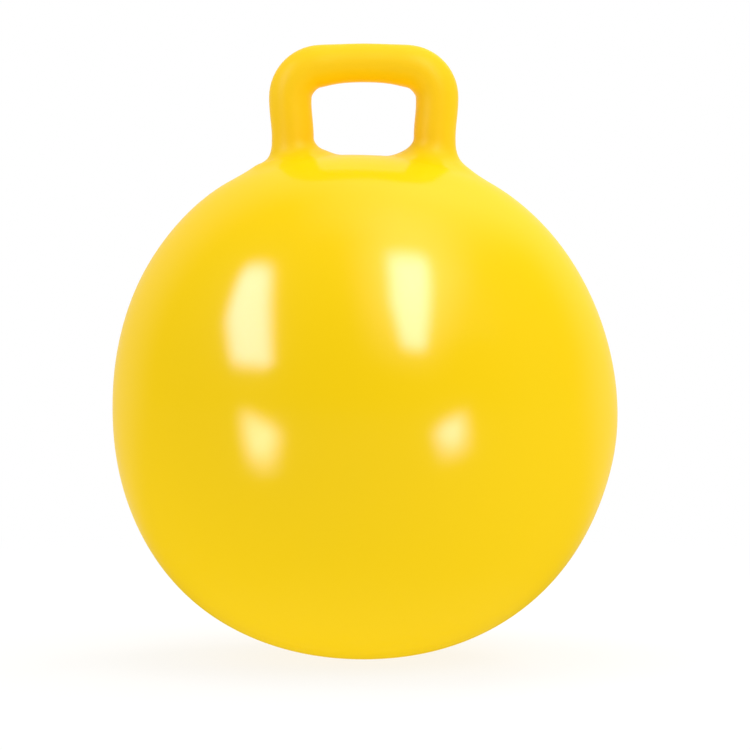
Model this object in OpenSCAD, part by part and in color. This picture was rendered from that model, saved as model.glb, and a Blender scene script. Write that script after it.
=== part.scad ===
// Hopper ball: an inflated vinyl ball to sit and bounce on, held by one closed loop handle on top.
// A push-in stopper closes the inflation valve on the back.
// The origin is the middle of the flat that the ball stands on and +Z is up. The loop lies in the
// XZ plane and the valve faces +Y. All lengths are in millimetres.

/* [Ball] */
// Diameter of the ball across its waist
ball_d = 450; // [400:1:600]
// Exponent of the meridian curve: 2 is a true sphere, more is fuller at the shoulders
fullness = 2.14; // [2:0.02:2.4]
// Thickness of the vinyl skin
skin_wall = 1.0; // [0.8:0.1:3]
// Diameter of the flat that the ball's own weight presses on the floor
floor_flat_d = 52; // [30:1:90]

/* [Handle] */
// Height of the grip's centre line above the top of the ball
grip_rise = 83.5; // [76:0.5:110]
// Thickness of the grip at its middle
grip_d = 34.3; // [28:0.1:42]
// Thickness of the two legs
leg_d = 37.2; // [30:0.1:42]
// Distance between the legs' centre lines just below the corners
leg_span = 132; // [118:1:150]
// Distance between the legs' centre lines at the feet
foot_span = 127; // [116:1:150]
// Radius of the grip's gentle upward crown, on its centre line
crown_r = 300; // [200:5:600]
// Radius of the two upper corners, on the centre line
corner_r = 28; // [24:0.5:36]
// Wall of the hollow handle
handle_wall = 2.5; // [1.5:0.1:4]

/* [Feet] */
// Height above the top of the ball at which the legs begin to flare
flare_rise = 16; // [10:0.5:22]
// Spread of each foot towards the middle of the ball
inner_spread = 25; // [15:0.5:30]
// Spread of each foot away from the middle of the ball
outer_spread = 36; // [20:0.5:45]
// Hollowness of the inner flare: 1 is a straight slope, 2 a quarter round, more a tighter corner
inner_hollow = 1.6; // [1.2:0.1:3]
// Hollowness of the outer flare, on the same scale
outer_hollow = 2.8; // [1.2:0.1:3.4]
// Thickness of a foot's edge, where it runs out on the ball
foot_edge = 0.4; // [0.3:0.1:1.5]
// Seam between a foot and the skin below it
foot_seam = 0.15; // [0.1:0.05:0.3]

/* [Valve] */
// Bore of the valve seat, which takes the stopper and the nozzle of a hand pump
bore_d = 8; // [6:0.1:10]
// Width of the lead-in at the mouth of the bore
lead_in = 0.6; // [0.2:0.1:0.8]
// Wall of the seat's sleeve where it passes through the boss
sleeve_wall = 4; // [3:0.1:5]
// Wall of the seat's sleeve at its inner end
sleeve_end_wall = 2; // [1.2:0.1:3]
// Length of the sleeve behind the dish's floor
sleeve_l = 26; // [20:0.5:34]
// Bond between the sleeve and the hole in the boss
sleeve_bond = 0.05; // [0.02:0.01:0.2]
// Width of the seat's outer lip beyond the sleeve
lip_w = 3; // [2:0.1:4]
// Thickness of the seat's outer lip
lip_t = 1.2; // [0.9:0.1:2]
// Width of the seat's inner flange beyond the sleeve
flange_w = 5; // [2:0.1:7]
// Thickness of the seat's inner flange
flange_t = 2; // [1:0.1:3]
// Room left round the lip on the floor of the dish that sinks the valve
dish_room = 2; // [1:0.1:4]
// Spread of the dish's sides from its floor to its mouth
dish_spread = 4; // [2:0.1:6]
// Thickness of the boss behind the dish's floor
boss_t = 6; // [4:0.5:10]
// Width of the boss beyond the dish's mouth
boss_w = 3; // [1:0.1:6]

/* [Stopper] */
// Diameter of the stopper's head
head_d = 18; // [15:0.5:22]
// Thickness of the stopper's head
head_t = 1.4; // [1.2:0.1:2.5]
// How far the head's top sits below the ball's surface
head_sunk = 0.3; // [0.25:0.05:0.8]
// Gap between the head and the seat's lip
head_gap = 0.1; // [0.05:0.05:0.3]
// Undercut of the head's rim, which gives a fingernail its hold
nail_undercut = 0.8; // [0.3:0.1:1]
// Radial clearance of the ribs in the bore
rib_clearance = 0.05; // [0.02:0.01:0.1]
// Height of the sealing ribs above the stem
rib_rise = 0.75; // [0.4:0.05:1.2]
// Width of each sealing rib
rib_w = 2; // [1:0.1:2.4]
// Number of sealing ribs
rib_count = 4; // [2:1:5]
// Length of the stem's rounded tip
tip_l = 3; // [2:0.1:4]
// Distance by which the tip stops short of the sleeve's end
tip_short = 2; // [0.5:0.1:4]

/* [Hidden] */
$fn = 96;

// Steps of the drawn curves
meridian_steps = 96;
section_sides = 32;
crown_steps = 10;
corner_steps = 6;
leg_steps = 5;
flare_steps = 8;
base_steps = 5;
round_steps = 6;
// Overshoot of a cut past the surface that it opens
cut_past = 5;

// Places that follow from the sizes above
ball_r = ball_d / 2;
ball_z = ball_r * meridian(floor_flat_d / ball_d);
top_z = ball_z + ball_r;
grip_z = top_z + grip_rise;
crown_half = asin((leg_span / 2 - corner_r) / (crown_r - corner_r));
corner_x = leg_span / 2 - corner_r;
corner_z = grip_z - crown_r + (crown_r - corner_r) * cos(crown_half);
flare_z = top_z + flare_rise;
leg_r = leg_d / 2;
port_r = leg_r - handle_wall;
bore_r = bore_d / 2;
sleeve_r = bore_r + sleeve_wall;
lip_r = sleeve_r + lip_w;
dish_depth = lip_t + head_gap + head_t + head_sunk;
dish_floor_r = lip_r + dish_room;
boss_r = dish_floor_r + dish_spread + boss_w;
valve_y = ball_r - dish_depth;

// Height of the unit meridian at a distance from the axis, both as shares of the radius
function meridian(share) = pow(1 - pow(abs(share), fullness), 1 / fullness);

// Height of the ball's outer surface above a point of the plan
function ball_top(x, y) = ball_z + ball_r * meridian(norm([x, y]) / ball_r);

// Smooth step from 0 to 1
function ease(u) = (1 - cos(180 * u)) / 2;

// Meridian of a ball of radius r from the flat at height z up to the pole, as [radius, height]
function meridian_points(r, z) =
    let (flat = r * meridian((ball_z - z) / r), start = acos(pow(flat / r, fullness / 2)))
    [for (i = [0 : meridian_steps])
        let (a = -start + (90 + start) * i / meridian_steps)
        [
            r * pow(max(cos(a), 0), 2 / fullness),
            ball_z + r * sign(a) * pow(abs(sin(a)), 2 / fullness),
        ]
    ];

// Ring of the handle's section about [x, z], where turn is the outward direction's angle from +Z
function section_ring(x, z, turn, r) =
    [for (k = [0 : section_sides - 1])
        let (a = 360 * k / section_sides)
        [
            x + r * cos(a) * sin(turn),
            r * sin(a),
            z + r * cos(a) * cos(turn),
        ]
    ];

// Ring of the grip or of a corner, where turn is 0 at the crown's middle and 90 on the right leg
function grip_ring(turn, thinner) =
    let (
        side = sign(turn),
        on_crown = abs(turn) < crown_half,
        r = on_crown ? grip_d / 2 + (leg_d - grip_d) / 2 * ease(abs(turn) / crown_half) : leg_r,
        x = on_crown ? crown_r * sin(turn) : side * corner_x + corner_r * sin(turn),
        z = on_crown ? grip_z - crown_r + crown_r * cos(turn) : corner_z + corner_r * cos(turn)
    )
    section_ring(x, z, turn, r - thinner);

// Rings from the right corner over the crown to the left corner, at every step or every skip steps
function grip_rings(thinner, skip) =
    let (
        corner = [for (i = [0 : skip : corner_steps]) 90 - (90 - crown_half) * i / corner_steps],
        crown = [for (i = [skip : skip : crown_steps - skip]) crown_half * (1 - 2 * i / crown_steps)],
        turns = concat(corner, crown, -reversed(corner))
    )
    [for (turn = turns) grip_ring(turn, thinner)];

// Ring of a leg, where u runs from 0 below the corner to 1 at the flare
function leg_ring(side, u, thinner) =
    let (
        drop = corner_z - flare_z,
        lean = (leg_span - foot_span) / 2,
        slope = lean / drop * PI / 2 * sin(180 * u)
    )
    section_ring(
        side * (leg_span / 2 - lean * ease(u)),
        corner_z - drop * u,
        side * (90 + atan(slope)),
        leg_r - thinner
    );

// Mix of an inner and an outer value round a foot, where out is 1 outward and -1 inward
function round_foot(inner, outer, out) = inner + (outer - inner) * (1 + out) / 2;

// Point of a foot at a distance from the leg's axis and a height above the ball
function foot_point(side, a, r, h) =
    let (x = side * (foot_span / 2 + r * cos(a)), y = r * sin(a))
    [x, y, ball_top(x, y) + h];

// Ring of a foot's flare, where t runs from 0 on the leg to 90 at the edge on the ball
function flare_ring(side, t) =
    [for (k = [0 : section_sides - 1])
        let (
            a = 360 * k / section_sides,
            spread = round_foot(inner_spread, outer_spread, cos(a)),
            bend = 2 / round_foot(inner_hollow, outer_hollow, cos(a)),
            height = flare_z - foot_point(side, a, leg_r, 0).z,
            edge = foot_seam + foot_edge
        )
        foot_point(
            side,
            a,
            leg_r + spread * (1 - pow(max(cos(t), 0), bend)),
            edge + (height - edge) * (1 - pow(sin(t), bend))
        )
    ];

// Ring of a foot's underside, where u runs from 0 at the bore to 1 at the edge
function base_ring(side, u) =
    [for (k = [0 : section_sides - 1])
        let (
            a = 360 * k / section_sides,
            edge_r = leg_r + round_foot(inner_spread, outer_spread, cos(a))
        )
        foot_point(side, a, port_r + (edge_r - port_r) * u, foot_seam)
    ];

// All rings of the hollow handle: over the outside from right to left, and back through the bore
function handle_rings() = concat(
    [for (i = [flare_steps : -1 : 1]) flare_ring(1, 90 * i / flare_steps)],
    [for (i = [leg_steps : -1 : 1]) leg_ring(1, i / leg_steps, 0)],
    grip_rings(0, 1),
    [for (i = [1 : leg_steps]) leg_ring(-1, i / leg_steps, 0)],
    [for (i = [1 : flare_steps]) flare_ring(-1, 90 * i / flare_steps)],
    [for (i = [base_steps : -1 : 0]) base_ring(-1, i / base_steps)],
    [for (u = [1, 0.5]) leg_ring(-1, u, handle_wall)],
    reversed(grip_rings(handle_wall, 2)),
    [for (u = [0.5, 1]) leg_ring(1, u, handle_wall)],
    [for (i = [0 : base_steps]) base_ring(1, i / base_steps)]
);

// List in the opposite order
function reversed(list) = [for (i = [len(list) - 1 : -1 : 0]) list[i]];

// Closed solid through rings of equal length, the last of which joins the first again
module ring_loft(rings) {
    n = len(rings);
    m = len(rings[0]);
    polyhedron(
        points = [for (ring = rings) each ring],
        faces = [
            for (i = [0 : n - 1])
                for (k = [0 : m - 1])
                    let (
                        here = i * m + k,
                        next = i * m + (k + 1) % m,
                        over = (i + 1) % n * m + k,
                        across = (i + 1) % n * m + (k + 1) % m
                    )
                    each [[here, over, across], [here, across, next]]
        ]
    );
}

// Solid of the ball inside a given depth of its outer surface
module ball_body(depth) {
    rotate_extrude()
        polygon(concat(
            [[0, depth]],
            meridian_points(ball_r - depth, depth)
        ));
}

// Stands its children on the dish's floor with their +Z pointing out of the ball
module at_valve() {
    translate([0, valve_y, ball_z])
        rotate([-90, 0, 0])
            children();
}

// Inflated skin with the two ports into the handle and the thick boss round the valve
module ball_skin() {
    dish_cut = 1 + cut_past / dish_depth;
    color([0.95, 0.8, 0.06])
        difference() {
            ball_body(0);
            difference() {
                ball_body(skin_wall);
                at_valve()
                    translate([0, 0, -boss_t])
                        cylinder(r = boss_r, h = boss_t + dish_depth);
            }
            for (side = [-1, 1])
                translate([side * foot_span / 2, 0, top_z - ball_r / 2])
                    cylinder(r = port_r, h = ball_r);
            at_valve()
                cylinder(
                    r1 = dish_floor_r,
                    r2 = dish_floor_r + dish_spread * dish_cut,
                    h = dish_depth * dish_cut
                );
            at_valve()
                translate([0, 0, -boss_t - cut_past])
                    cylinder(r = sleeve_r + sleeve_bond, h = boss_t + 2 * cut_past);
        }
}

// Hollow loop handle, whose flared feet run out on the ball
module handle() {
    color([0.97, 0.74, 0.06])
        ring_loft(handle_rings());
}

// Soft grommet that lines the hole in the boss, with a lip outside and a flange inside
module valve_seat() {
    flange_floor = -boss_t - flange_t;
    color([0.93, 0.78, 0.1])
        at_valve()
            rotate_extrude()
                polygon([
                    [bore_r, -sleeve_l],
                    [bore_r + sleeve_end_wall, -sleeve_l],
                    [sleeve_r, flange_floor],
                    [sleeve_r + flange_w, flange_floor],
                    [sleeve_r + flange_w, -boss_t],
                    [sleeve_r, -boss_t],
                    [sleeve_r, 0],
                    [lip_r, 0],
                    [lip_r, lip_t / 2],
                    [lip_r - lip_t / 2, lip_t],
                    [bore_r + lead_in, lip_t],
                    [bore_r, lip_t - lead_in],
                ]);
}

// Stopper with a flat head to prise up and ribs that seal in the bore
module valve_plug() {
    head_r = head_d / 2;
    head_floor = lip_t + head_gap;
    head_top = head_floor + head_t;
    rim_r = head_t - nail_undercut;
    rib_r = bore_r - rib_clearance;
    stem_r = rib_r - rib_rise;
    stem_top = lip_t - lead_in;
    tip_top = tip_short - sleeve_l + tip_l;
    rib_pitch = (stem_top - tip_top) / rib_count;
    color("white")
        at_valve()
            rotate_extrude()
                polygon(concat(
                    [[0, head_top]],
                    [for (i = [0 : round_steps])
                        let (a = 90 - 90 * i / round_steps)
                        [head_r - rim_r + rim_r * cos(a), head_top - rim_r + rim_r * sin(a)]
                    ],
                    [[head_r - nail_undercut, head_floor], [stem_r, head_floor]],
                    [for (i = [0 : rib_count - 1])
                        let (z = stem_top - rib_pitch * (i + 0.5))
                        each [
                            [stem_r, z + rib_w / 2],
                            [rib_r, z + rib_w / 4],
                            [rib_r, z],
                            [stem_r, z - rib_w / 2],
                        ]
                    ],
                    [for (i = [0 : round_steps])
                        let (a = 90 * i / round_steps)
                        [stem_r * cos(a), tip_top - tip_l * sin(a)]
                    ]
                ));
}

ball_skin();
handle();
valve_seat();
valve_plug();
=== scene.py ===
"""Looks of a hopper ball: a glossy inflated vinyl ball with one loop handle moulded on top.

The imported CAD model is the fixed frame. One continuous moulded skin stands for the CAD's ball and
handle, because the real vinyl runs from one into the other without a break. The valve on the back
has its seat and its stopper. All lengths are in metres, in the frame of the CAD model: the origin
is the middle of the floor flat, +Z is up, the loop lies in the XZ plane and the valve faces +Y.
"""

import logging
import math
from collections.abc import Callable, Iterable
from dataclasses import dataclass, field
from enum import Enum

import bmesh
import bpy
from bmesh.types import BMEdge, BMesh, BMFace, BMVert
from mathutils import Matrix, Vector

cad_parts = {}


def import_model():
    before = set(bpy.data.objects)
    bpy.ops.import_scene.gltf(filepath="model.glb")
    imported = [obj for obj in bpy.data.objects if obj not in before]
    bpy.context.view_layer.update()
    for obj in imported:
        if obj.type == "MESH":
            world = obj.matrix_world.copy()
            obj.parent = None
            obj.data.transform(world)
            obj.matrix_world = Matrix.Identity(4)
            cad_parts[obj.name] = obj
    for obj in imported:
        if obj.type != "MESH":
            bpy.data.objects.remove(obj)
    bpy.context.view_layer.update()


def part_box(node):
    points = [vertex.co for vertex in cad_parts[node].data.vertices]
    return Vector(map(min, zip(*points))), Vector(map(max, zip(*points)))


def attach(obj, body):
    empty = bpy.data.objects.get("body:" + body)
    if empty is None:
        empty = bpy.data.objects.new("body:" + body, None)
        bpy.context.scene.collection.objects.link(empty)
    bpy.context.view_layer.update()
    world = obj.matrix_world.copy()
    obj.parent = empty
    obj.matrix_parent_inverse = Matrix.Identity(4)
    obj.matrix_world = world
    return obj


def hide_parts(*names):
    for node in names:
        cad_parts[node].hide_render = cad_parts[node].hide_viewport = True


log = logging.getLogger("hopper_ball")

RISE = "rise"
MIDDLE = 0.5
FULL_BEAM = 180.0
Colour = tuple[float, float, float]
WHITE: Colour = (1.0, 1.0, 1.0)
WARM: Colour = (1.0, 1.0, 0.8)
COOL: Colour = (0.72, 0.72, 1.0)
PALE: Colour = (0.9, 0.9, 1.0)


def ease(share: float) -> float:
    """Return a smooth step from 0 to 1 of a share that is clamped to that range."""
    return (1 - math.cos(math.pi * min(max(share, 0.0), 1.0))) / 2


class Side(Enum):
    """The two feet of the handle, by the sign of their place along X."""

    RIGHT = 1
    LEFT = -1


class Body(Enum):
    """The two CAD bodies that pieces ride on."""

    BALL = "ball"
    STOPPER = "stopper"


class Opening(Enum):
    """The places where the ball's skin is opened."""

    RIGHT_FOOT = "right foot"
    LEFT_FOOT = "left foot"
    VALVE = "valve"


class Socket:
    """A shader socket that takes part in Python arithmetic, one Math node for each operation."""

    def __init__(self, graph: "Graph", socket: bpy.types.NodeSocket) -> None:
        """Keep the socket and the graph that it belongs to.

        Args:
            graph: Graph that new nodes are added to.
            socket: Output socket that this value stands for.
        """
        self.graph = graph
        self.socket = socket

    def _math(self, operation: str, first: "Socket | float", second: "Socket | float") -> "Socket":
        """Return the result of a two-sided Math node."""
        return self.graph.out("ShaderNodeMath", {"operation": operation}, {0: first, 1: second})

    def __add__(self, other: "Socket | float") -> "Socket":
        """Return self + other."""
        return self._math("ADD", self, other)

    def __radd__(self, other: float) -> "Socket":
        """Return other + self."""
        return self._math("ADD", other, self)

    def __sub__(self, other: "Socket | float") -> "Socket":
        """Return self - other."""
        return self._math("SUBTRACT", self, other)

    def __rsub__(self, other: float) -> "Socket":
        """Return other - self."""
        return self._math("SUBTRACT", other, self)

    def __mul__(self, other: "Socket | float") -> "Socket":
        """Return self * other."""
        return self._math("MULTIPLY", self, other)

    def __rmul__(self, other: float) -> "Socket":
        """Return other * self."""
        return self._math("MULTIPLY", other, self)

    def greater(self, other: "Socket | float") -> "Socket":
        """Return the greater of self and other."""
        return self._math("MAXIMUM", self, other)

    def step(self, low: float, high: float) -> "Socket":
        """Return a smooth step of self.

        Args:
            low: Value at which the step is still 0.
            high: Value at which the step has reached 1.

        Returns:
            The stepped value, from 0 to 1.
        """
        settings = {"interpolation_type": "SMOOTHSTEP"}
        return self.graph.out("ShaderNodeMapRange", settings, {0: self, 1: low, 2: high, 3: 0.0, 4: 1.0})


@dataclass
class Graph:
    """A node tree that is written as expressions."""

    tree: bpy.types.NodeTree

    def node(self, kind: str, settings: dict | None = None, inputs: dict | None = None) -> bpy.types.Node:
        """Add one node.

        Args:
            kind: Node type, such as ShaderNodeBump.
            settings: Properties of the node, which are set first.
            inputs: Value or link of each input socket, by name or index.

        Returns:
            The new node.
        """
        made = self.tree.nodes.new(kind)
        for name, setting in (settings or {}).items():
            setattr(made, name, setting)
        for key, value in (inputs or {}).items():
            if isinstance(value, Socket):
                value = value.socket
            if isinstance(value, bpy.types.NodeSocket):
                self.tree.links.new(value, made.inputs[key])
            else:
                made.inputs[key].default_value = value
        return made

    def out(self, kind: str, settings: dict | None = None, inputs: dict | None = None,
            output: str | int = 0) -> Socket:
        """Add one node and return one of its outputs as a value."""
        return Socket(self, self.node(kind, settings, inputs).outputs[output])

    def mix_colour(self, share: Socket, first: "Colour | Socket", second: "Colour | Socket") -> Socket:
        """Blend two colours.

        Args:
            share: 0 gives the first colour and 1 the second.
            first: Colour at 0.
            second: Colour at 1.

        Returns:
            The blended colour.
        """
        ends = [(*c, 1.0) if isinstance(c, tuple) else c for c in (first, second)]
        return self.out("ShaderNodeMix", {"data_type": "RGBA"}, {0: share, 6: ends[0], 7: ends[1]}, 2)

    def noise(self, place: Socket, grain: float, detail: float = 2.0) -> Socket:
        """Return noise from 0 to 1 whose grains are about one given length across."""
        return self.out("ShaderNodeTexNoise", None, {"Vector": place, "Scale": 1 / grain, "Detail": detail})


def new_material(name: str) -> tuple[bpy.types.Material, Graph, bpy.types.Node]:
    """Make a material with an empty tree and its output.

    Args:
        name: Name of the material.

    Returns:
        The material, its graph and its output node.
    """
    material = bpy.data.materials.new(name)
    material.use_nodes = True
    material.node_tree.nodes.clear()
    graph = Graph(material.node_tree)
    return material, graph, graph.node("ShaderNodeOutputMaterial")


@dataclass(frozen=True)
class VinylFinish:
    """Soft vinyl: lemon and glossy on the stretched ball, more orange and duller on the handle."""

    name: str
    ball_colour: Colour
    handle_colour: Colour
    ball_roughness: float = 0.4
    ball_specular: float = 0.015
    handle_roughness: float = 0.45
    handle_specular: float = 0.12
    gloss: float = 0.95
    gloss_roughness: float = 0.13
    colour_from: float = 0.004
    colour_to: float = 0.024
    gloss_from: float = 0.0005
    gloss_to: float = 0.008
    glance_from: float = 0.2
    glance_to: float = 0.8
    glance_loss: float = 0.85
    cloud_grain: float = 0.11
    cloud_depth: float = 0.12
    smear_grain: float = 0.05
    smear_depth: float = 0.05
    smear_detail: float = 4.0
    peel_grain: float = 0.006
    peel_depth: float = 0.000012

    def build(self) -> bpy.types.Material:
        """Make the material, which follows the height of the skin above the regular ball.

        Returns:
            The vinyl, glossy where the skin lies on the ball and duller where it stands off.
        """
        material, graph, output = new_material(self.name)
        place = graph.out("ShaderNodeTexCoord", output="Object")
        rise = graph.out("ShaderNodeAttribute", {"attribute_name": RISE}, output="Fac")
        cloud = graph.noise(place, self.cloud_grain) - MIDDLE
        thick = rise.step(self.colour_from, self.colour_to) + self.cloud_depth * cloud
        dull = rise.step(self.gloss_from, self.gloss_to)
        smear = graph.noise(place, self.smear_grain, self.smear_detail) - MIDDLE
        edge_on = graph.out("ShaderNodeLayerWeight", output="Facing")
        glance = 1 - self.glance_loss * edge_on.step(self.glance_from, self.glance_to)
        peel = graph.out("ShaderNodeBump", inputs={
            "Strength": 1.0,
            "Distance": self.peel_depth,
            "Height": graph.noise(place, self.peel_grain),
        })
        colour = graph.mix_colour(thick, self.ball_colour, self.handle_colour)
        ball = graph.node("ShaderNodeBsdfPrincipled", inputs={
            "Base Color": colour,
            "Roughness": self.ball_roughness + self.smear_depth * smear,
            "Specular IOR Level": self.ball_specular,
            "Coat Weight": self.gloss * glance,
            "Coat Roughness": self.gloss_roughness,
            "Normal": peel,
        })
        handle = graph.node("ShaderNodeBsdfPrincipled", inputs={
            "Base Color": colour,
            "Roughness": self.handle_roughness + self.smear_depth * smear,
            "Specular IOR Level": self.handle_specular,
            "Normal": peel,
        })
        both = graph.node("ShaderNodeMixShader", inputs={
            0: dull,
            1: ball.outputs[0],
            2: handle.outputs[0],
        })
        graph.tree.links.new(both.outputs[0], output.inputs[0])
        return material


@dataclass(frozen=True)
class MouldedFinish:
    """Plain moulded plastic with a fine grain and slightly uneven gloss."""

    name: str
    colour: Colour
    shade: Colour
    roughness: float
    grain: float = 0.0012
    grain_depth: float = 0.000006
    tone_grain: float = 0.006
    gloss_depth: float = 0.1

    def build(self) -> bpy.types.Material:
        """Make the material.

        Returns:
            The moulded plastic.
        """
        material, graph, output = new_material(self.name)
        place = graph.out("ShaderNodeTexCoord", output="Object")
        tone = graph.noise(place, self.tone_grain)
        grain = graph.noise(place, self.grain)
        bump = graph.out("ShaderNodeBump", inputs={
            "Strength": 1.0,
            "Distance": self.grain_depth,
            "Height": grain,
        })
        shader = graph.node("ShaderNodeBsdfPrincipled", inputs={
            "Base Color": graph.mix_colour(tone, self.colour, self.shade),
            "Roughness": self.roughness + self.gloss_depth * (grain - MIDDLE),
            "Normal": bump,
        })
        graph.tree.links.new(shader.outputs[0], output.inputs[0])
        return material


@dataclass
class BallForm:
    """The inflated ball: a superellipse turned about the vertical, standing on a small flat."""

    radius: float
    centre_z: float
    fullness: float = 2.14

    @classmethod
    def from_frame(cls) -> "BallForm":
        """Fit the form to the CAD skin's box.

        Returns:
            The form that fills it.
        """
        low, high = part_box("ball_skin")
        radius = (high.x - low.x) / 2
        return cls(radius, high.z - radius)

    @property
    def top_z(self) -> float:
        """Return the height of the pole above the floor."""
        return self.centre_z + self.radius

    def meridian(self, share: float) -> float:
        """Return the meridian's height at a distance from the axis, both as shares of the radius."""
        return max(1 - abs(share) ** self.fullness, 0.0) ** (1 / self.fullness)

    def above(self, x: float, y: float) -> Vector:
        """Return the point of the upper surface over a point of the plan."""
        return Vector((x, y, self.centre_z + self.radius * self.meridian(math.hypot(x, y) / self.radius)))

    def behind(self, x: float, z: float) -> Vector:
        """Return the point of the back's surface at a place across and a height."""
        girth = self.radius * self.meridian((z - self.centre_z) / self.radius)
        return Vector((x, math.sqrt(girth * girth - x * x), z))

    def project(self, point: Vector) -> Vector:
        """Move a point along its ray from the centre to the surface.

        Args:
            point: Any point but the centre.

        Returns:
            The surface's point on that ray.
        """
        ray = point - Vector((0, 0, self.centre_z))
        across = math.hypot(ray.x, ray.y) / self.radius
        up = abs(ray.z) / self.radius
        size = (across ** self.fullness + up ** self.fullness) ** (1 / self.fullness)
        return Vector((0, 0, self.centre_z)) + ray / size


@dataclass
class LoopHandle:
    """The closed loop: a round section swept over two legs, two corners and a crowned grip."""

    ball: BallForm
    grip_rise: float = 0.0835
    grip_r: float = 0.01715
    leg_r: float = 0.0186
    leg_half: float = 0.066
    foot_half: float = 0.0635
    crown_r: float = 0.3
    corner_r: float = 0.028
    corner_fill: float = 0.00075
    fill_reach: float = 0.021
    flare_rise: float = 0.016
    inner_spread: float = 0.025
    outer_spread: float = 0.036
    inner_hollow: float = 1.6
    outer_hollow: float = 2.8
    flare_steps: int = 14
    leg_steps: int = 10
    corner_steps: int = 14
    crown_steps: int = 20

    def __post_init__(self) -> None:
        """Work out the crown's opening angle and the corners' centre."""
        reach = self.crown_r - self.corner_r
        self.crown_half = math.asin((self.leg_half - self.corner_r) / reach)
        self.half_corner = self.corner_r * (math.pi / 2 - self.crown_half) / 2
        self.grip_z = self.ball.top_z + self.grip_rise
        self.corner_x = self.leg_half - self.corner_r
        self.corner_z = self.grip_z - self.crown_r + reach * math.cos(self.crown_half)
        self.flare_z = self.ball.top_z + self.flare_rise

    def _round_foot(self, inner: float, outer: float, angle: float) -> float:
        """Return a foot's value at an angle from its outward side."""
        return inner + (outer - inner) * (1 + math.cos(angle)) / 2

    def _on_foot(self, side: Side, angle: float, reach: float) -> Vector:
        """Return the ball's point at a distance from the leg's axis."""
        x = side.value * (self.foot_half + reach * math.cos(angle))
        return self.ball.above(x, reach * math.sin(angle))

    def edge(self, side: Side, angle: float) -> Vector:
        """Return the point where a foot runs out on the ball, at an angle from its outward side."""
        spread = self._round_foot(self.inner_spread, self.outer_spread, angle)
        return self._on_foot(side, angle, self.leg_r + spread)

    def _flare(self, side: Side, share: float, angles: list[float]) -> list[Vector]:
        """Work out a ring of a foot's flare.

        Args:
            side: Foot that it belongs to.
            share: 0 on the leg and 1 on the ball.
            angles: Angles of its points from the outward side.

        Returns:
            The ring's points.
        """
        ring = []
        turn = share * math.pi / 2
        for angle in angles:
            spread = self._round_foot(self.inner_spread, self.outer_spread, angle)
            bend = 2 / self._round_foot(self.inner_hollow, self.outer_hollow, angle)
            height = self.flare_z - self._on_foot(side, angle, self.leg_r).z
            point = self._on_foot(side, angle, self.leg_r + spread * (1 - math.cos(turn) ** bend))
            point.z += height * (1 - math.sin(turn) ** bend)
            ring.append(point)
        return ring

    def _section(self, x: float, z: float, turn: float, radius: float, away: float,
                 angles: list[float]) -> list[Vector]:
        """Work out a round ring of the loop.

        Args:
            x: Place of its middle across.
            z: Height of its middle.
            turn: Lean of its outward side from straight up.
            radius: Radius of the plain section.
            away: Distance along the loop from the middle of the nearest corner, which is filled.
            angles: Angles of its points from the outward side.

        Returns:
            The ring's points.
        """
        fill = self.corner_fill * math.exp(-((away / self.fill_reach) ** 2))
        outward = Vector((math.sin(turn), 0, math.cos(turn)))
        middle = Vector((x, 0, z)) - fill * outward
        return [
            middle + (radius + fill) * (math.cos(angle) * outward + Vector((0, math.sin(angle), 0)))
            for angle in angles
        ]

    def _leg(self, side: Side, share: float, angles: list[float]) -> list[Vector]:
        """Work out a ring of a leg.

        Args:
            side: Leg that it belongs to.
            share: 0 below the corner and 1 at the flare.
            angles: Angles of its points from the outward side.

        Returns:
            The ring's points.
        """
        drop = self.corner_z - self.flare_z
        lean = self.leg_half - self.foot_half
        slope = lean / drop * math.pi / 2 * math.sin(math.pi * share)
        x = side.value * (self.leg_half - lean * ease(share))
        turn = side.value * (math.pi / 2 + math.atan(slope))
        away = self.half_corner + drop * share
        return self._section(x, self.corner_z - drop * share, turn, self.leg_r, away, angles)

    def _grip(self, turn: float, angles: list[float]) -> list[Vector]:
        """Work out a ring of the grip or of a corner.

        Args:
            turn: Lean of its outward side from straight up.
            angles: Angles of its points from the outward side.

        Returns:
            The ring's points.
        """
        if abs(turn) < self.crown_half:
            radius = self.grip_r + (self.leg_r - self.grip_r) * ease((turn / self.crown_half) ** 2)
            x = self.crown_r * math.sin(turn)
            z = self.grip_z - self.crown_r + self.crown_r * math.cos(turn)
            away = self.half_corner + self.crown_r * (self.crown_half - abs(turn))
            return self._section(x, z, turn, radius, away, angles)
        x = math.copysign(self.corner_x, turn) + self.corner_r * math.sin(turn)
        z = self.corner_z + self.corner_r * math.cos(turn)
        away = abs(self.corner_r * (math.pi / 2 - abs(turn)) - self.half_corner)
        return self._section(x, z, turn, self.leg_r, away, angles)

    def rings(self, sides: int) -> list[list[Vector]]:
        """Work out the rings between the two feet's edges.

        Args:
            sides: Number of points in each ring.

        Returns:
            The rings from the right foot over the grip to the left foot, without the edges.
        """
        angles = [2 * math.pi * k / sides for k in range(sides)]
        flare = [i / self.flare_steps for i in range(1, self.flare_steps)]
        leg = [i / self.leg_steps for i in range(self.leg_steps + 1)]
        corner = [
            math.pi / 2 + (self.crown_half - math.pi / 2) * i / self.corner_steps
            for i in range(1, self.corner_steps + 1)
        ]
        crown = [self.crown_half * (1 - 2 * i / self.crown_steps) for i in range(1, self.crown_steps)]
        turns = [*corner, *crown, *(-turn for turn in reversed(corner))]
        return [
            *(self._flare(Side.RIGHT, share, angles) for share in reversed(flare)),
            *(self._leg(Side.RIGHT, share, angles) for share in reversed(leg)),
            *(self._grip(turn, angles) for turn in turns),
            *(self._leg(Side.LEFT, share, angles) for share in leg),
            *(self._flare(Side.LEFT, share, angles) for share in flare),
        ]


@dataclass(frozen=True)
class Corner:
    """A corner of a turned profile: distance from the axis, height and size of its rounding."""

    radius: float
    height: float
    rounding: float = 0.0


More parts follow.
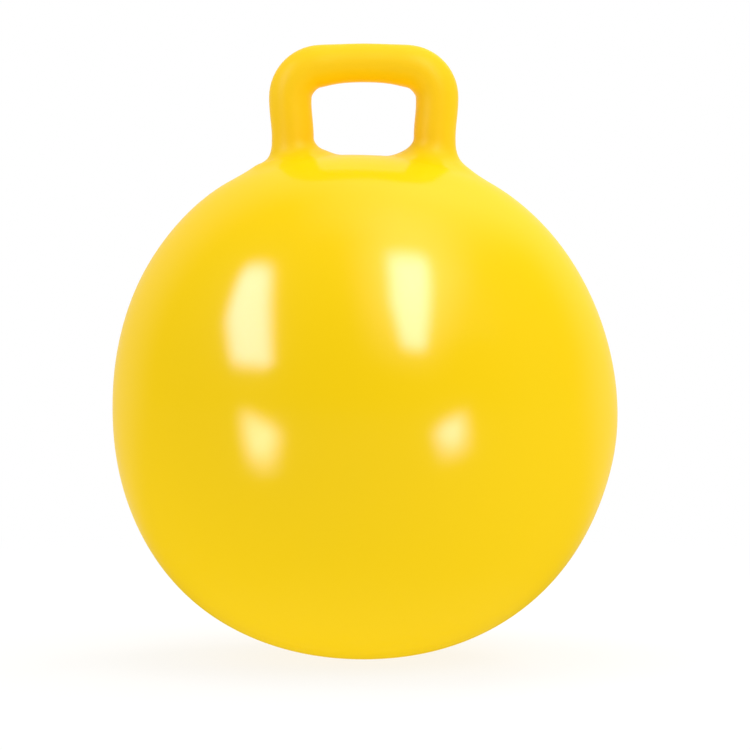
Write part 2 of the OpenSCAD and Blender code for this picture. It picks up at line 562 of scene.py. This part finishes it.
@dataclass
class ValveWell:
    """The dish on the back that sinks the valve, and the hole through the boss behind it."""

    ball: BallForm
    patch_r: float = 0.047
    mouth_r: float = 0.017
    mouth_round: float = 0.0022
    floor_r: float = 0.013
    floor_round: float = 0.0012
    depth: float = 0.003
    hole_r: float = 0.00805
    boss_t: float = 0.006
    approach_steps: int = 7
    round_steps: int = 5
    turned_sides: int = 96
    merge_reach: float = 1e-7

    def turned(self, profile: list[Corner], closed: bool) -> BMesh:
        """Turn a profile about the valve's axis.

        Args:
            profile: Its corners, with heights above the floor of the dish.
            closed: Whether the last corner joins the first, rather than both lying on the axis.

        Returns:
            The closed solid.
        """
        floor_y = self.ball.radius - self.depth
        middle = (0, 0, self.ball.centre_z)
        bm = bmesh.new()
        verts = [bm.verts.new((c.radius, floor_y + c.height, self.ball.centre_z)) for c in profile]
        for first, second in zip(verts, verts[1:]):
            bm.edges.new((first, second))
        if closed:
            bm.edges.new((verts[-1], verts[0]))
        for vert, corner in zip(verts, profile):
            if corner.rounding:
                bmesh.ops.bevel(
                    bm, geom=[vert], offset=corner.rounding, offset_type="OFFSET",
                    segments=self.round_steps, profile=0.5, affect="VERTICES", material=-1,
                )
        bmesh.ops.spin(
            bm, geom=bm.verts[:] + bm.edges[:], cent=middle, axis=(0, 1, 0), angle=2 * math.pi,
            steps=self.turned_sides, use_merge=True,
        )
        bmesh.ops.remove_doubles(bm, verts=bm.verts[:], dist=self.merge_reach)
        bmesh.ops.recalc_face_normals(bm, faces=bm.faces[:])
        for face in bm.faces:
            face.smooth = True
        return bm

    def _profile(self) -> list[tuple[float, float]]:
        """Work out the dish's profile from its mouth to its hole.

        Returns:
            Its points, as radius and depth below the ball.
        """
        slope = math.atan2(self.depth, self.mouth_r - self.floor_r)
        points = []
        lip = self.mouth_r + self.mouth_round * math.tan(slope / 2)
        for i in range(self.round_steps + 1):
            a = slope * i / self.round_steps
            points.append((lip - self.mouth_round * math.sin(a), self.mouth_round * (1 - math.cos(a))))
        heel = self.floor_r - self.floor_round * math.tan(slope / 2)
        for i in range(self.round_steps + 1):
            a = slope * (1 - i / self.round_steps)
            points.append((
                heel + self.floor_round * math.sin(a),
                self.depth - self.floor_round * (1 - math.cos(a)),
            ))
        points.append(((heel + self.hole_r) / 2, self.depth))
        points.append((self.hole_r, self.depth))
        points.append((self.hole_r, self.depth + self.boss_t / 2))
        points.append((self.hole_r, self.depth + self.boss_t))
        return points

    def rings(self, sides: int) -> list[list[Vector]]:
        """Work out the rings from the patch's edge into the hole.

        Args:
            sides: Number of points in each ring.

        Returns:
            The rings, without the patch's edge.
        """
        profile = self._profile()
        lip = profile[0][0]
        shares = [i / self.approach_steps for i in range(1, self.approach_steps)]
        approach = [(self.patch_r * (lip / self.patch_r) ** share, 0.0) for share in shares]
        return [self.ring(radius, depth, sides) for radius, depth in [*approach, *profile]]

    def ring(self, radius: float, depth: float, sides: int) -> list[Vector]:
        """Work out a ring round the valve's axis, which grows flat as it sinks below the ball.

        Args:
            radius: Its distance from the axis.
            depth: Its depth below the ball.
            sides: Number of its points.

        Returns:
            The ring's points.
        """
        floor_y = self.ball.radius - depth
        flat = min(depth / self.depth, 1.0)
        ring = []
        for k in range(sides):
            angle = 2 * math.pi * k / sides
            point = self.ball.behind(
                radius * math.cos(angle), self.ball.centre_z + radius * math.sin(angle)
            )
            point.y = (point.y - depth) * (1 - flat) + floor_y * flat
            ring.append(point)
        return ring


@dataclass
class ValveSeat:
    """The soft grommet in the boss: a lip on the dish's floor, a sleeve and a flange inside."""

    well: ValveWell
    finish: MouldedFinish
    bore_r: float = 0.004
    lead_in: float = 0.0006
    sleeve_r: float = 0.008
    sleeve_end_wall: float = 0.002
    sleeve_l: float = 0.026
    lip_r: float = 0.011
    lip_t: float = 0.0012
    lip_round: float = 0.0007
    flange_w: float = 0.005
    flange_t: float = 0.002
    edge_round: float = 0.0004

    def _profile(self) -> list[Corner]:
        """Work out the profile from the sleeve's inner end round to the mouth of the bore.

        Returns:
            The corners of the closed profile.
        """
        flange_r = self.sleeve_r + self.flange_w
        flange_top = -self.well.boss_t
        flange_floor = flange_top - self.flange_t
        return [
            Corner(self.bore_r, -self.sleeve_l, self.edge_round),
            Corner(self.bore_r + self.sleeve_end_wall, -self.sleeve_l, self.edge_round),
            Corner(self.sleeve_r, flange_floor, self.edge_round),
            Corner(flange_r, flange_floor, self.edge_round),
            Corner(flange_r, flange_top, self.edge_round),
            Corner(self.sleeve_r, flange_top),
            Corner(self.sleeve_r, 0),
            Corner(self.lip_r, 0),
            Corner(self.lip_r, self.lip_t, self.lip_round),
            Corner(self.bore_r + self.lead_in, self.lip_t, self.edge_round),
            Corner(self.bore_r, self.lip_t - self.lead_in, self.edge_round),
        ]

    def build(self) -> bpy.types.Object:
        """Return the seat, bonded into the ball's boss."""
        bm = self.well.turned(self._profile(), closed=True)
        return finished_piece("valve_grommet", bm, self.finish.build())


@dataclass
class Stopper:
    """The push-in plug: a dimpled head with a rim to prise up, and a ribbed stem."""

    well: ValveWell
    seat: ValveSeat
    finish: MouldedFinish
    head_r: float = 0.009
    head_gap: float = 0.0001
    head_t: float = 0.0014
    rim_round: float = 0.0006
    nail_undercut: float = 0.0008
    dimple_r: float = 0.0052
    dimple_slope: float = 0.0012
    dimple_depth: float = 0.0005
    dimple_round: float = 0.0007
    rib_r: float = 0.00395
    rib_rise: float = 0.00075
    rib_w: float = 0.002
    rib_count: int = 4
    rib_round: float = 0.0003
    tip_l: float = 0.003
    tip_short: float = 0.002

    def _profile(self) -> list[Corner]:
        """Work out the profile from the middle of the head down to the tip.

        Returns:
            The corners of the profile, which starts and ends on the axis.
        """
        head_floor = self.seat.lip_t + self.head_gap
        head_top = head_floor + self.head_t
        stem_r = self.rib_r - self.rib_rise
        stem_top = self.seat.lip_t - self.seat.lead_in
        tip_floor = self.tip_short - self.seat.sleeve_l
        pitch = (stem_top - tip_floor - self.tip_l) / self.rib_count
        head = [
            Corner(0, head_top - self.dimple_depth),
            Corner(self.dimple_r, head_top - self.dimple_depth, self.dimple_round),
            Corner(self.dimple_r + self.dimple_slope, head_top, self.dimple_round),
            Corner(self.head_r, head_top, self.rim_round),
            Corner(self.head_r, head_top - self.rim_round),
            Corner(self.head_r - self.nail_undercut, head_floor, self.rib_round),
            Corner(stem_r, head_floor, self.rib_round),
        ]
        ribs = []
        for i in range(self.rib_count):
            middle = stem_top - pitch * (i + MIDDLE)
            ribs += [
                Corner(stem_r, middle + self.rib_w / 2, self.rib_round),
                Corner(self.rib_r, middle + self.rib_w / 4, self.rib_round / 2),
                Corner(self.rib_r, middle, self.rib_round / 2),
                Corner(stem_r, middle - self.rib_w / 2, self.rib_round),
            ]
        tip = [Corner(stem_r, tip_floor, self.tip_l), Corner(0, tip_floor)]
        return [*head, *ribs, *tip]

    def build(self) -> bpy.types.Object:
        """Return the stopper, pushed home in its seat."""
        bm = self.well.turned(self._profile(), closed=False)
        return finished_piece("push_stopper", bm, self.finish.build())


@dataclass
class Swell:
    """A place where the inflated skin stands out from the regular ball, or falls short of it.

    Its lean from the ball's right side and its width are in degrees.
    """

    lean: float
    height: float
    width: float

    def at(self, ray: Vector) -> float:
        """Work out the swell's height in a direction.

        Args:
            ray: Direction from the ball's centre.

        Returns:
            The height that it adds there.
        """
        lean = math.radians(self.lean)
        away = ray.angle(Vector((math.cos(lean), 0, math.sin(lean))))
        return self.height * math.exp(-((math.degrees(away) / self.width) ** 2))


@dataclass
class MouldedSkin:
    """The ball and its handle as one continuous skin of soft vinyl."""

    ball: BallForm
    handle: LoopHandle
    well: ValveWell
    finish: VinylFinish
    cells: int = 64
    patch_cells: int = 8
    relax_rings: int = 12
    relax_passes: int = 80
    relax_factor: float = 0.5
    angle_digits: int = 6
    wall: float = 0.001
    seam_half: float = 0.0014
    seam_segments: int = 8
    plane_reach: float = 0.000022
    bead_half: float = 0.001
    bead_height: float = 0.00022
    slack_reach: float = 0.014
    swells: tuple[Swell, ...] = (
        Swell(120, 0.0064, 22),
        Swell(66, 0.0022, 14),
        Swell(30, -0.0020, 18),
        Swell(-4, 0.0028, 15),
        Swell(150, 0.0008, 12),
        Swell(228, 0.0013, 18),
    )
    sides: int = field(init=False)

    def __post_init__(self) -> None:
        """Count the corners round a square patch, whose four sides are each two halves long."""
        self.sides = 4 * 2 * self.patch_cells

    def build(self) -> bpy.types.Object:
        """Model the skin and dress it.

        Returns:
            The finished piece.
        """
        bm = bmesh.new()
        loops = self._inflate(bm)
        self._settle(bm, loops)
        self._pull_handle(bm, loops)
        self._sink_valve(bm, loops[Opening.VALVE])
        self._mark_parting(bm)
        self._note_rise(bm)
        self._let_swell(bm)
        for face in bm.faces:
            face.smooth = True
        bmesh.ops.recalc_face_normals(bm, faces=bm.faces)
        piece = finished_piece("moulded_skin", bm, self.finish.build())
        shell = piece.modifiers.new("wall", "SOLIDIFY")
        shell.thickness = self.wall
        shell.offset = -1
        return piece

    def _inflate(self, bm: BMesh) -> dict[Opening, list[BMVert]]:
        """Blow a gridded cube up to the ball and open it at the feet and the valve.

        Args:
            bm: Empty mesh.

        Returns:
            The opened edges as rings of corners, in the order of their angle.
        """
        bmesh.ops.create_cube(bm, size=2)
        bmesh.ops.subdivide_edges(bm, edges=bm.edges[:], cuts=self.cells - 1, use_grid_fill=True)
        step = 2 / self.cells
        near = step / 4
        foot_height = self.ball.above(self.handle.foot_half, 0).z - self.ball.centre_z
        lean = math.atan2(self.handle.foot_half, foot_height)
        foot_u = step * round(lean / (math.pi / 4) / step)
        half = self.patch_cells * step
        patches: dict[Opening, Callable[[Vector], tuple[float, float] | None]] = {
            Opening.RIGHT_FOOT: lambda p: (p.x - foot_u, p.y) if p.z > 1 - near else None,
            Opening.LEFT_FOOT: lambda p: (-p.x - foot_u, p.y) if p.z > 1 - near else None,
            Opening.VALVE: lambda p: (p.x, p.z) if p.y > 1 - near else None,
        }
        inside: list[BMFace] = []
        loops: dict[Opening, list[BMVert]] = {}
        for opening, local in patches.items():
            for face in bm.faces:
                spot = local(face.calc_center_median())
                if spot and max(abs(spot[0]), abs(spot[1])) < half:
                    inside.append(face)
            edge = []
            for vert in bm.verts:
                spot = local(vert.co)
                if spot and abs(max(abs(spot[0]), abs(spot[1])) - half) < near:
                    edge.append((math.atan2(spot[1], spot[0]) % (2 * math.pi), vert))
            edge.sort(key=lambda pair: round(pair[0], self.angle_digits))
            loops[opening] = [vert for _, vert in edge]
        bmesh.ops.delete(bm, geom=inside, context="FACES")
        for vert in bm.verts:
            ray = Vector(math.tan(c * math.pi / 4) for c in vert.co)
            vert.co = self.ball.project(Vector((0, 0, self.ball.centre_z)) + ray)
        return loops

    def _settle(self, bm: BMesh, loops: dict[Opening, list[BMVert]]) -> None:
        """Move the opened edges to their true places and even out the grid round them.

        Args:
            bm: The opened ball.
            loops: Its opened edges.
        """
        angles = [2 * math.pi * k / self.sides for k in range(self.sides)]
        for vert, angle in zip(loops[Opening.RIGHT_FOOT], angles):
            vert.co = self.handle.edge(Side.RIGHT, angle)
        for vert, angle in zip(loops[Opening.LEFT_FOOT], angles):
            vert.co = self.handle.edge(Side.LEFT, angle)
        for vert, point in zip(loops[Opening.VALVE], self.well.ring(self.well.patch_r, 0, self.sides)):
            vert.co = point
        pinned = {vert for loop in loops.values() for vert in loop}
        near = set(pinned)
        for _ in range(self.relax_rings):
            near |= {edge.other_vert(vert) for vert in near for edge in vert.link_edges}
        loose = list(near - pinned)
        for _ in range(self.relax_passes):
            bmesh.ops.smooth_vert(
                bm, verts=loose, factor=self.relax_factor,
                use_axis_x=True, use_axis_y=True, use_axis_z=True,
            )
            for vert in loose:
                vert.co = self.ball.project(vert.co)

    def _extrude(self, bm: BMesh, ring: list[BMVert], places: Iterable[Vector]) -> list[BMVert]:
        """Extrude a ring of edges and put the new corners in place.

        Args:
            bm: Mesh that holds the ring.
            ring: Corners of the open edge, in order.
            places: Where the new corners go, in the same order.

        Returns:
            The new corners, in order.
        """
        made = bmesh.ops.extrude_edge_only(bm, edges=ring_edges(ring))["geom"]
        fresh = {item for item in made if isinstance(item, BMVert)}
        following = []
        for vert, place in zip(ring, places):
            after = next(e.other_vert(vert) for e in vert.link_edges if e.other_vert(vert) in fresh)
            after.co = place
            following.append(after)
        return following

    def _pull_handle(self, bm: BMesh, loops: dict[Opening, list[BMVert]]) -> None:
        """Pull the handle out of the right foot's edge and join it to the left foot's.

        Args:
            bm: The opened ball.
            loops: Its opened edges.
        """
        ring = loops[Opening.RIGHT_FOOT]
        for places in self.handle.rings(self.sides):
            ring = self._extrude(bm, ring, places)
        bmesh.ops.bridge_loops(bm, edges=ring_edges(ring) + ring_edges(loops[Opening.LEFT_FOOT]))

    def _sink_valve(self, bm: BMesh, ring: list[BMVert]) -> None:
        """Press the valve's dish and hole into the back."""
        for places in self.well.rings(self.sides):
            ring = self._extrude(bm, ring, places)

    def _mark_parting(self, bm: BMesh) -> None:
        """Raise the fine bead that the mould's parting leaves in the plane of the loop.

        Args:
            bm: The skin with its handle and valve.
        """
        edges = [e for e in bm.edges if all(abs(v.co.y) < self.plane_reach for v in e.verts)]
        bmesh.ops.bevel(
            bm, geom=edges, offset=self.seam_half, offset_type="OFFSET", segments=self.seam_segments,
            profile=0.5, affect="EDGES", material=-1,
        )
        bm.normal_update()
        bead = [(v, v.normal.copy()) for v in bm.verts if abs(v.co.y) < self.bead_half]
        for vert, outward in bead:
            vert.co += outward * self.bead_height * (1 - ease(abs(vert.co.y) / self.bead_half))

    def _note_rise(self, bm: BMesh) -> None:
        """Write each corner's height above the regular ball to an attribute for the finish.

        Args:
            bm: The skin, before it swells.
        """
        centre = Vector((0, 0, self.ball.centre_z))
        rise = bm.verts.layers.float.new(RISE)
        for vert in bm.verts:
            surface = self.ball.project(vert.co)
            vert[rise] = max((vert.co - centre).length - (surface - centre).length, 0.0)

    def _let_swell(self, bm: BMesh) -> None:
        """Give the skin its slightly uneven inflation, and press its flat on the floor.

        Args:
            bm: The skin.
        """
        centre = Vector((0, 0, self.ball.centre_z))
        for vert in bm.verts:
            ray = vert.co - centre
            height = sum(swell.at(ray) for swell in self.swells)
            vert.co += ray.normalized() * height * self._slack(vert.co)
            vert.co.z = max(vert.co.z, 0.0)

    def _slack(self, point: Vector) -> float:
        """Work out how far the skin may swell at a point: not at all on the handle's legs.

        Args:
            point: Point of the skin.

        Returns:
            The share of the swell, from 0 to 1.
        """
        reach = math.hypot(abs(point.x) - self.handle.foot_half, point.y)
        over = (point.z - self.ball.top_z) / self.handle.flare_rise
        return ease((reach - self.handle.leg_r) / self.slack_reach) * (1 - ease(over))


def ring_edges(ring: list[BMVert]) -> list[BMEdge]:
    """Return the edges between neighbouring corners of a closed ring."""
    pairs = zip(ring, ring[1:] + ring[:1])
    return [next(e for e in a.link_edges if e.other_vert(a) is b) for a, b in pairs]


def finished_piece(name: str, bm: BMesh, material: bpy.types.Material) -> bpy.types.Object:
    """Turn a mesh into an object at the origin.

    Args:
        name: Name of the piece.
        bm: Its mesh, which is freed.
        material: Its finish.

    Returns:
        The new object.
    """
    mesh = bpy.data.meshes.new(name)
    bm.to_mesh(mesh)
    bm.free()
    mesh.materials.append(material)
    piece = bpy.data.objects.new(name, mesh)
    bpy.context.scene.collection.objects.link(piece)
    return piece


@dataclass(frozen=True)
class Softbox:
    """A rectangular studio light that faces a target, with soft edges and a slanted left side.

    Attributes:
        name: Name of the light.
        place: Its middle.
        upright: Direction that its top points to, as near as it can.
        width: Length of its level sides.
        height: Length of its upright sides.
        radiance: Brightness of its face, where 1 is white.
        lights_matt: Whether matt surfaces take its light.
        shows_in_gloss: Whether gloss shows it.
        target: Point that it faces.
        soft: Share of its width over which its left and right sides fade.
        fade_above: Share of its height over which its top fades.
        fade_below: Share of its height over which its bottom fades.
        trim_top: Share of its width that is cut off its left side at the top.
        trim_bottom: Share of its width that is cut off its left side at the bottom.
        trim_from: Share of its height at which both cuts start.
        sill_slope: Fall of its bottom edge from left to right, as a share of its height.
        lintel_slope: Fall of its top edge from left to right, as a share of its height.
        bow: Share of its width by which its middle bows to the right.
        tint: Colour of its light.
        beam: Angle of its beam in degrees.
    """

    name: str
    place: tuple[float, float, float]
    upright: tuple[float, float, float]
    width: float
    height: float
    radiance: float
    lights_matt: bool = True
    shows_in_gloss: bool = True
    target: tuple[float, float, float] = (0.0, 0.0, 0.25)
    soft: float = 0.1
    fade_above: float = 0.1
    fade_below: float = 0.1
    trim_top: float = 0.0
    trim_bottom: float = 0.0
    trim_from: float = 0.5
    sill_slope: float = 0.0
    lintel_slope: float = 0.0
    bow: float = 0.0
    tint: Colour = WHITE
    beam: float = FULL_BEAM

    def build(self) -> bpy.types.Object:
        """Make the light and turn it to its target.

        Returns:
            The light.
        """
        lamp = bpy.data.lights.new(self.name, "AREA")
        lamp.shape = "RECTANGLE"
        lamp.size = self.width
        lamp.size_y = self.height
        lamp.energy = self.radiance * math.pi * self.width * self.height * self._beam_share()
        lamp.spread = math.radians(self.beam)
        lamp.color = self.tint
        self._shape(lamp)
        light = bpy.data.objects.new(self.name, lamp)
        back = (Vector(self.place) - Vector(self.target)).normalized()
        across = Vector(self.upright).cross(back).normalized()
        turn = Matrix((across, back.cross(across), back)).transposed().to_4x4()
        light.matrix_world = Matrix.Translation(self.place) @ turn
        light.visible_camera = False
        light.visible_diffuse = self.lights_matt
        light.visible_glossy = self.shows_in_gloss
        bpy.context.scene.collection.objects.link(light)
        return light

    def _beam_share(self) -> float:
        """Return the share of the power that keeps the radiance on the axis of a narrow beam."""
        half = math.radians(self.beam / 2)
        return 1.0 if self.beam >= FULL_BEAM else 1 - half / math.tan(half)

    def _shape(self, lamp: bpy.types.AreaLight) -> None:
        """Soften the light's edges and slant its left side.

        Args:
            lamp: Light that is shaped.
        """
        lamp.use_nodes = True
        lamp.node_tree.nodes.clear()
        graph = Graph(lamp.node_tree)
        face = graph.out("ShaderNodeNewGeometry", output="Parametric")
        spot = graph.node("ShaderNodeSeparateXYZ", inputs={0: face})
        right = Socket(graph, spot.outputs["X"])
        up = Socket(graph, spot.outputs["Y"])
        above = (up - self.trim_from).greater(0.0) * (self.trim_top / (1 - self.trim_from))
        below = (self.trim_from - up).greater(0.0) * (self.trim_bottom / self.trim_from)
        from_middle = 2 * up - 1
        across = right - self.bow * (1 - from_middle * from_middle)
        left = across - above - below
        share = left.step(0, self.soft) * (1 - self.bow - across).step(0, self.soft)
        aside = right - MIDDLE
        sill = up + self.sill_slope * aside
        lintel = 1 - up - self.lintel_slope * aside
        share = share * sill.step(0, self.fade_below) * lintel.step(0, self.fade_above)
        glow = graph.node("ShaderNodeEmission", inputs={"Strength": share})
        output = graph.node("ShaderNodeOutputLight")
        graph.tree.links.new(glow.outputs[0], output.inputs[0])


@dataclass
class Studio:
    """A pale floor, soft light and the camera."""

    camera_place: Vector = field(default_factory=lambda: Vector((0.0101, -3.0, 0.36)))
    camera_target: Vector = field(default_factory=lambda: Vector((0.0101, 0.0, 0.253)))
    lens: float = 160.5
    floor_r: float = 12.0
    floor_sides: int = 96
    floor_z: float = -0.0004
    floor_colour: Colour = (0.92, 0.92, 0.91)
    floor_glow: float = 0.8
    white_from: float = 0.3
    white_to: float = 1.3
    table_glow: float = 1.18
    table_share: float = 0.95
    contact_share: float = 0.6
    contact_from: float = 0.05
    contact_to: float = 0.25
    fill: float = 0.66
    side_fill: float = 1.28
    side_from: float = -0.9
    side_to: float = 0.1
    back_fill: float = 0.55
    back_from: float = 0.2
    back_to: float = 0.9
    back_glow: float = 0.95
    back_glow_from: float = 0.3
    back_glow_to: float = 0.95
    rim_glow: float = 0.05
    rim_glow_from: float = 0.9
    rim_glow_to: float = 1.0
    floor_back_from: float = 0.1
    floor_back_to: float = 0.9
    boxes: tuple[Softbox, ...] = (
        Softbox("left_window", place=(-1.23, -0.69, 1.15), upright=(0.18, 0.62, 0.53),
                width=0.87, height=1.66, radiance=11.2, lights_matt=False,
                soft=0.28, fade_above=0.24, fade_below=0.17, trim_top=0.34,
                sill_slope=0.3, lintel_slope=0.18, bow=0.086, tint=COOL),
        Softbox("right_window", place=(0.53, -1.08, 1.44), upright=(-0.06, 0.60, 0.60),
                width=0.67, height=1.75, radiance=10.6, lights_matt=False,
                soft=0.33, fade_above=0.3, fade_below=0.15, trim_bottom=0.26, trim_from=0.42, tint=COOL),
        Softbox("left_low_lamp", place=(-0.405, -0.475, 0.105), upright=(0.4, 0, 0.9),
                width=0.3, height=0.27, radiance=13.4, lights_matt=False, target=(-0.094, -0.203, 0.2),
                soft=0.4, fade_above=0.25, fade_below=0.9, trim_bottom=0.3, trim_from=0.8,
                tint=PALE, beam=48),
        Softbox("right_low_lamp", place=(0.35, -0.525, 0.132), upright=(-0.4, 0, 0.9),
                width=0.24, height=0.2, radiance=13.4, lights_matt=False, target=(0.08, -0.209, 0.2),
                soft=0.45, fade_above=0.3, fade_below=0.9, tint=COOL, beam=48),
        Softbox("right_panel", place=(0.49, -0.83, 1.49), upright=(-0.12, 0.93, 0.355),
                width=1.7, height=3.4, radiance=2.4, lights_matt=False, target=(0.042, -0.19, 0.33),
                soft=0.5, fade_above=0.5, fade_below=0.5, tint=WARM),
        Softbox("overhead_glow", place=(0.45, 0.60, 1.95), upright=(0, 1, 0),
                width=2.6, height=2.4, radiance=1.0, lights_matt=False,
                soft=0.5, fade_above=0.5, fade_below=0.5, tint=WARM),
        Softbox("overhead", place=(-0.1, 0.1, 2.4), upright=(0, 1, 0),
                width=1.2, height=1.2, radiance=2.4, shows_in_gloss=False),
        Softbox("right_key", place=(1.4, -1.2, 1.8), upright=(0, 0, 1),
                width=1.6, height=1.6, radiance=1.6, shows_in_gloss=False),
        Softbox("back_key", place=(0.9, 1.6, 1.5), upright=(0, 0, 1),
                width=0.9, height=0.9, radiance=5.0, shows_in_gloss=False),
    )

    def build(self) -> None:
        """Make the floor, the world, the lights and the camera."""
        self._floor()
        self._world()
        for box in self.boxes:
            box.build()
        self._camera()
        bpy.context.scene.view_settings.view_transform = "Standard"

    @staticmethod
    def _rays(graph: Graph) -> tuple[Socket, Socket]:
        """Tell the rays apart that a floor or a room answers differently.

        Args:
            graph: Graph of the floor or the room.

        Returns:
            1 for what the camera or glass sees, and 1 for what only gloss sees.
        """
        path = graph.node("ShaderNodeLightPath")
        camera = Socket(graph, path.outputs["Is Camera Ray"])
        view = camera.greater(Socket(graph, path.outputs["Is Transmission Ray"]))
        gloss = Socket(graph, path.outputs["Is Glossy Ray"])
        return view, gloss * (1 - view)

    def _behind(self, graph: Graph, ray: Socket) -> Socket:
        """Work out the glow that gloss sees: none before the ball, and most right behind it.

        Args:
            graph: Graph of the floor or the room.
            ray: Direction from the ball.

        Returns:
            The glow in that direction.
        """
        back = graph.out("ShaderNodeSeparateXYZ", inputs={0: ray}, output="Y")
        wide = back.step(self.back_glow_from, self.back_glow_to) * self.back_glow
        return wide + back.step(self.rim_glow_from, self.rim_glow_to) * self.rim_glow

    def _floor(self) -> None:
        """Lay the floor, which is near white in view and keeps a soft shadow."""
        material, graph, output = new_material("pale_floor")
        material.cycles.emission_sampling = "NONE"
        view, gloss = self._rays(graph)
        place = graph.out("ShaderNodeTexCoord", output="Object")
        away = graph.out("ShaderNodeVectorMath", {"operation": "LENGTH"}, {0: place}, "Value")
        ray = graph.out("ShaderNodeVectorMath", {"operation": "NORMALIZE"}, {0: place})
        behind = self._behind(graph, ray) * away.step(self.floor_back_from, self.floor_back_to)
        far = away.step(self.white_from, self.white_to)
        clear = away.step(self.contact_from, self.contact_to)
        apart = self.contact_share + (1 - self.contact_share) * clear
        seen = view * (self.floor_glow + (1 - self.floor_glow) * far)
        unseen = (1 - view) * self.table_share * (1 - gloss * (1 - apart))
        matt = graph.node("ShaderNodeBsdfDiffuse", inputs={"Color": (*self.floor_colour, 1.0)})
        glow = graph.node("ShaderNodeEmission", inputs={
            "Strength": view + gloss * behind + (1 - view - gloss) * self.table_glow,
        })
        mixed = graph.node("ShaderNodeMixShader", inputs={
            0: seen + unseen,
            1: matt.outputs[0],
            2: glow.outputs[0],
        })
        graph.tree.links.new(mixed.outputs[0], output.inputs[0])
        bm = bmesh.new()
        bmesh.ops.create_circle(bm, cap_ends=True, radius=self.floor_r, segments=self.floor_sides)
        bmesh.ops.translate(bm, verts=bm.verts, vec=(0, 0, self.floor_z))
        finished_piece("floor", bm, material)

    def _world(self) -> None:
        """Make the room: white in view, softly lit, pale behind the ball and dark before it."""
        world = bpy.data.worlds.new("studio")
        bpy.context.scene.world = world
        world.use_nodes = True
        world.cycles.sampling_method = "NONE"
        world.node_tree.nodes.clear()
        graph = Graph(world.node_tree)
        view, gloss = self._rays(graph)
        ray = graph.out("ShaderNodeTexCoord", output="Generated")
        behind = graph.out("ShaderNodeSeparateXYZ", inputs={0: ray}, output="Y")
        fill = (
            self.fill
            + behind.step(self.side_from, self.side_to) * (self.side_fill - self.fill)
            + behind.step(self.back_from, self.back_to) * (self.back_fill - self.side_fill)
        )
        strength = view + gloss * self._behind(graph, ray) + (1 - view - gloss) * fill
        light = graph.node("ShaderNodeBackground", inputs={
            "Color": (*WHITE, 1.0),
            "Strength": strength,
        })
        output = graph.node("ShaderNodeOutputWorld")
        graph.tree.links.new(light.outputs[0], output.inputs[0])

    def _camera(self) -> None:
        """Set the camera at the viewing angle of the photograph."""
        lens = bpy.data.cameras.new("camera")
        lens.lens = self.lens
        camera = bpy.data.objects.new("camera", lens)
        camera.location = self.camera_place
        camera.rotation_mode = "QUATERNION"
        camera.rotation_quaternion = (self.camera_target - self.camera_place).to_track_quat("-Z", "Y")
        bpy.context.scene.collection.objects.link(camera)
        bpy.context.scene.camera = camera


def place(piece: bpy.types.Object, body: Body, slot: str, *nodes: str) -> None:
    """Put a piece on its body and report it.

    Args:
        piece: The finished piece.
        body: Body that it rides on.
        slot: Name of the material slot that it shows; not used.
        nodes: CAD nodes that it stands for.
    """
    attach(piece, body.value)
    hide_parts(*nodes)
    log.info("%s: %d faces, for %s", piece.name, len(piece.data.polygons), ", ".join(nodes))


def main() -> None:
    """Build the pieces round the CAD frame, then the studio."""
    logging.basicConfig(level=logging.INFO, format="%(name)s: %(message)s")
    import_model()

    ball = BallForm.from_frame()
    handle = LoopHandle(ball)
    vinyl = VinylFinish(
        name="yellow_vinyl", ball_colour=(0.90, 0.60, 0.0015), handle_colour=(0.92, 0.575, 0.0015),
    )
    well = ValveWell(ball)
    skin = MouldedSkin(ball, handle, well, vinyl).build()
    place(skin, Body.BALL, "ball_vinyl", "ball_skin", "handle")

    seat_finish = MouldedFinish(
        name="seat_vinyl", colour=(0.80, 0.47, 0.01), shade=(0.86, 0.53, 0.012), roughness=0.42,
    )
    seat = ValveSeat(well, seat_finish)
    place(seat.build(), Body.BALL, "seat_vinyl", "valve_seat")

    white = MouldedFinish(
        name="white_stopper", colour=(0.82, 0.82, 0.79), shade=(0.77, 0.77, 0.73), roughness=0.38,
    )
    place(Stopper(well, seat, white).build(), Body.STOPPER, "stopper_plastic", "valve_plug")

    Studio().build()


if __name__ == "__main__":
    main()
